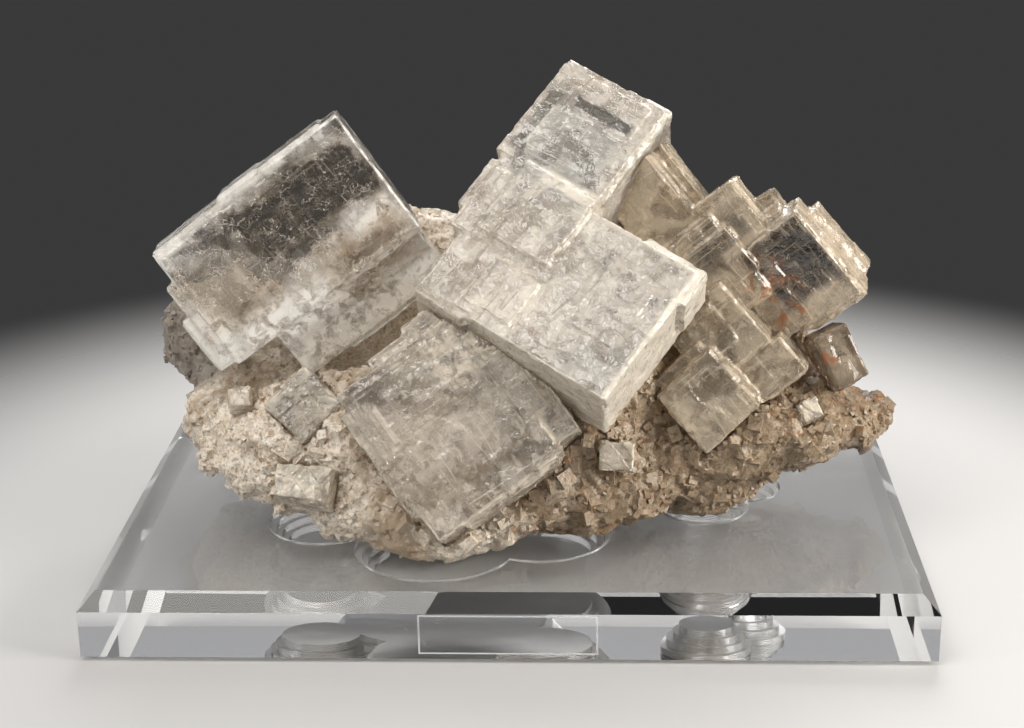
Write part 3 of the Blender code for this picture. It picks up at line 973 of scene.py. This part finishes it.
# %% Paint the lump and the grains
DARK_GRAIN = (0.80, 0.68, 0.54, 1)
LIGHT_GRAIN = (0.97, 0.90, 0.79, 1)
TAN = (0.46, 0.35, 0.24, 1)
POWDER = (0.86, 0.82, 0.75, 1)
CRUMB_HOLLOW_PAINTED_SHADE = (0.47, 0.37, 0.26, 1)
BARE_SALT = (0.90, 0.85, 0.76, 1)
RIGHT_SIDE_PAINTED_SHADE = (0.38, 0.32, 0.25, 1)
RUSTY_DIRT = (0.36, 0.165, 0.06, 1)
BACK_LEFT_DARK_GREY = (0.22, 0.19, 0.16, 1)
GREY_PATCH = Patch((-150, 45, 95), (36, 40, 34), 8, 20, 0.85)
LUMP_ROUGHNESS = 0.3
SMOOTH_LUMP_BELOW = math.radians(32)


def in_millimetres(tree):
    """The place on a piece, in millimetres along the scene's own directions."""
    place = add_node(tree, "ShaderNodeTexCoord").outputs["Object"]
    scaled = add_node(tree, "ShaderNodeVectorMath", {0: place, "Scale": 1 / MM}, operation="SCALE")
    return scaled.outputs[0]


def granular_material(name, lighter):
    material = bpy.data.materials.new(name)
    material.use_nodes = True
    tree = material.node_tree
    shader = tree.nodes["Principled BSDF"]
    where = in_millimetres(tree)
    cells = add_node(tree, "ShaderNodeTexVoronoi", {"Vector": where, "Scale": 0.5}, distance="CHEBYCHEV")
    level = add_node(tree, "ShaderNodeSeparateColor", {0: cells.outputs["Color"]}).outputs[0]
    colour = blend_colours(tree, level, DARK_GRAIN, LIGHT_GRAIN)
    broad = cloud(tree, where, 0.03, 4.0, 0.6)
    across = add_node(tree, "ShaderNodeSeparateXYZ", {0: where}).outputs["X"]
    colour = blend_colours(tree, fade(tree, broad, 0.50, 0.68), colour, TAN)
    white = fade(tree, cloud(tree, where, 0.12, 3.0, 0.65), 0.56, 0.66)
    colour = blend_colours(tree, product(tree, white, 0.75), colour, POWDER)
    # Painted shade: where the crumbs noise is low, which the bump below uses as its hollows, the colour is
    # darker.
    crumbs = cloud(tree, where, 0.75, 2.0, 0.7)
    colour = blend_colours(tree, fade(tree, crumbs, 0.54, 0.30), colour, CRUMB_HOLLOW_PAINTED_SHADE)
    colour = blend_colours(tree, lighter, colour, BARE_SALT)
    # Painted shade: towards the right the colour is multiplied darker and a little browner.
    wandering = total_of(tree, across, product(tree, broad, 90.0))
    painted_shade_side = fade(tree, wandering, 10.0, 80.0)
    colour = add_node(
        tree, "ShaderNodeMix", {0: painted_shade_side, 6: colour, 7: RIGHT_SIDE_PAINTED_SHADE},
        data_type="RGBA", blend_type="MULTIPLY").outputs[2]
    specks = fade(tree, cloud(tree, where, 0.22, 4.0, 0.7, 0.8), 0.55, 0.64)
    rust = product(tree, specks, fade(tree, cloud(tree, where, 0.045), 0.46, 0.6), 0.75)
    colour = blend_colours(tree, rust, colour, RUSTY_DIRT)
    # The back of the lump at the left is painted dark grey.
    colour = blend_colours(tree, patch_mask(tree, where, broad, GREY_PATCH), colour, BACK_LEFT_DARK_GREY)
    tree.links.new(colour, shader.inputs["Base Color"])
    shader.inputs["Roughness"].default_value = LUMP_ROUGHNESS
    shader.inputs["IOR"].default_value = SALT_IOR
    relief = total_of(tree, crumbs, product(tree, level, 0.5))
    bump = add_node(tree, "ShaderNodeBump", {"Height": relief, "Strength": 0.7, "Distance": 0.7 * MM})
    tree.links.new(bump.outputs[0], shader.inputs["Normal"])
    return material


lump.data.materials.append(granular_material("sugary_salt_lump", 0.0))
salt_grains.data.materials.append(granular_material("sugary_salt_grains", 0.06))
only(lump)
bpy.ops.object.shade_smooth_by_angle(angle=SMOOTH_LUMP_BELOW)
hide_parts("matrix")
for item in (lump, salt_grains):
    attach(item, "root")
print("lump and grains are painted")


# %% [markdown]
# ## The clear slab
# The slab is a polished block whose top edges are cut at 45 degrees. A box with a bevelled top rim is all it
# takes: the bevel operator works on the edges that are selected, here the four highest ones.

# %% Model the slab
SLAB_WIDTH = 330.2
SLAB_DEPTH = 203.2
SLAB_LOW = 2.0
SLAB_TOP = 27.4
SLAB_BEVEL = 6.35
NEARLY = 0.0001
TERRACES = 4
TERRACE_DROP = 3.0
TERRACE_TREAD = 2.6
PLUG_HEIGHT = 40
PLUG_SIDES = 64
LOBES = [
    (-78, -27, 24), (-30, -52, 33), (12, -38, 29), (-28, -2, 50), (80, -10, 19), (98, 10, 16),
]


def block(name, low, high):
    """A box between two corners given in millimetres."""
    bpy.ops.object.select_all(action="DESELECT")
    middle = (Vector(low) + Vector(high)) / 2 * MM
    bpy.ops.mesh.primitive_cube_add(size=1, location=middle)
    item = bpy.context.object
    item.name = name
    item.scale = (Vector(high) - Vector(low)) * MM
    bpy.ops.object.transform_apply(location=True, rotation=True, scale=True)
    return item


def cut(item, cutter, operation="DIFFERENCE"):
    apply_modifier(item, "BOOLEAN", operation=operation, solver="EXACT", object=cutter)
    bpy.data.objects.remove(cutter)


half_width, half_depth = SLAB_WIDTH / 2, SLAB_DEPTH / 2
slab = block("clear_slab", (-half_width, -half_depth, SLAB_LOW), (half_width, half_depth, SLAB_TOP))
bpy.ops.object.mode_set(mode="EDIT")
work = bmesh.from_edit_mesh(slab.data)
for edge in work.edges:
    edge.select_set(all(vert.co.z > SLAB_TOP * MM - NEARLY for vert in edge.verts))
bmesh.update_edit_mesh(slab.data)
bpy.ops.mesh.bevel(offset=SLAB_BEVEL * MM, offset_type="OFFSET", segments=1)
bpy.ops.object.mode_set(mode="OBJECT")

# %% [markdown]
# ## The milled hollow and the engraved border
# A mill cuts the hollow in flat terraces, each a little smaller than the one above it. Upright cylinders,
# one for each lobe and terrace, are joined into one plug, and a Boolean takes the plug out of the slab. The
# border on the front is a fine groove, cut the same way with a thin rectangular frame.

# %% Mill the hollow and engrave the border
plugs = []
for level in range(TERRACES):
    for x, y, radius in LOBES:
        reach = radius - level * TERRACE_TREAD
        floor_height = SLAB_TOP - (level + 1) * TERRACE_DROP
        bpy.ops.object.select_all(action="DESELECT")
        bpy.ops.mesh.primitive_cylinder_add(
            vertices=PLUG_SIDES, radius=reach * MM, depth=PLUG_HEIGHT * MM,
            location=(x * MM, y * MM, (floor_height + PLUG_HEIGHT / 2) * MM))
        bpy.ops.object.transform_apply(location=True, rotation=True, scale=True)
        plugs.append(bpy.context.object)
hollow = plugs[0]
for plug in plugs[1:]:
    cut(hollow, plug, "UNION")
cut(slab, hollow)

BORDER_LOW = (-33.6, 4.0)
BORDER_HIGH = (35.4, 20.4)
BORDER_LINE = 0.6
ENGRAVING_DEPTH = 0.35
front = -half_depth
border = block(
    "border", (BORDER_LOW[0], front - 1, BORDER_LOW[1]),
    (BORDER_HIGH[0], front + ENGRAVING_DEPTH, BORDER_HIGH[1]))
inner = block(
    "border_inner", (BORDER_LOW[0] + BORDER_LINE, front - 2, BORDER_LOW[1] + BORDER_LINE),
    (BORDER_HIGH[0] - BORDER_LINE, front + 2, BORDER_HIGH[1] - BORDER_LINE))
cut(border, inner)
cut(slab, border)
print("slab faces:", len(slab.data.polygons))


# %% [markdown]
# ## The clear material
# Polished acrylic is a plain glass with a low index. The milled hollow and the engraved border are the same
# stuff with a frosted surface. They could have a second material, but it is simpler to pick them out by
# their place inside the block, with the patches used for the salt. The feet are soft and a little milky.

# %% Paint the slab and the feet
ACRYLIC_IOR = 1.49
ACRYLIC_CLEAR = (0.985, 0.99, 0.99, 1)
FOOT_MILKINESS = 0.35
HANDLING_ROUGHNESS = 0.04
BORDER_FROST = 0.8
BORDER_ROUGHNESS = 0.5
HOLLOW_FROST = 0.2
HOLLOW_ROUGHNESS = 0.16
HOLLOW_PATCH = Patch((0, 0, 20), (140, 90, 7.2), 0.05, 0, 1.0)
SMOOTH_SLAB_BELOW = math.radians(20)


def acrylic_material(name, milled, milky=0.0):
    material = bpy.data.materials.new(name)
    material.use_nodes = True
    tree = material.node_tree
    shader = tree.nodes["Principled BSDF"]
    shader.inputs["Base Color"].default_value = ACRYLIC_CLEAR
    shader.inputs["Transmission Weight"].default_value = 1.0 - milky
    shader.inputs["IOR"].default_value = ACRYLIC_IOR
    where = in_millimetres(tree)
    smears = cloud(tree, where, 0.05, 5.0)
    handling = product(tree, fade(tree, smears, 0.5, 0.75), HANDLING_ROUGHNESS)
    if milled:
        low, high = BORDER_LOW, BORDER_HIGH
        centre = ((low[0] + high[0]) / 2, -SLAB_DEPTH / 2 + ENGRAVING_DEPTH, (low[1] + high[1]) / 2)
        half = ((high[0] - low[0]) / 2 + 0.1, ENGRAVING_DEPTH * 0.6, (high[1] - low[1]) / 2 + 0.1)
        engraved = patch_mask(tree, where, smears, Patch(centre, half, 0.05, 0, BORDER_FROST))
        inside = patch_mask(tree, where, smears, HOLLOW_PATCH)
        scattering = total_of(tree, engraved, product(tree, inside, HOLLOW_FROST))
        tree.links.new(inverse(tree, scattering), shader.inputs["Transmission Weight"])
        handling = total_of(
            tree, handling, product(tree, engraved, BORDER_ROUGHNESS),
            product(tree, inside, HOLLOW_ROUGHNESS))
        waves = add_node(
            tree, "ShaderNodeTexWave",
            {"Vector": where, "Scale": 0.4, "Distortion": 1.2, "Detail": 2.0, "Detail Scale": 0.15},
            bands_direction="Z")
        relief = product(tree, waves.outputs["Fac"], inside)
        bump = add_node(
            tree, "ShaderNodeBump", {"Height": relief, "Strength": 0.5, "Distance": 0.3 * MM})
        tree.links.new(bump.outputs[0], shader.inputs["Normal"])
    tree.links.new(handling, shader.inputs["Roughness"])
    return material


slab.data.materials.append(acrylic_material("polished_acrylic", True))
only(slab)
bpy.ops.object.shade_smooth_by_angle(angle=SMOOTH_SLAB_BELOW)
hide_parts("base_slab")
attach(slab, "root")

foot_material = acrylic_material("soft_clear_foot", False, milky=FOOT_MILKINESS)
for node in sorted(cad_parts):
    if node.startswith("foot"):
        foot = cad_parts[node]
        foot.data.materials.clear()
        foot.data.materials.append(foot_material)
print("slab and feet are painted")
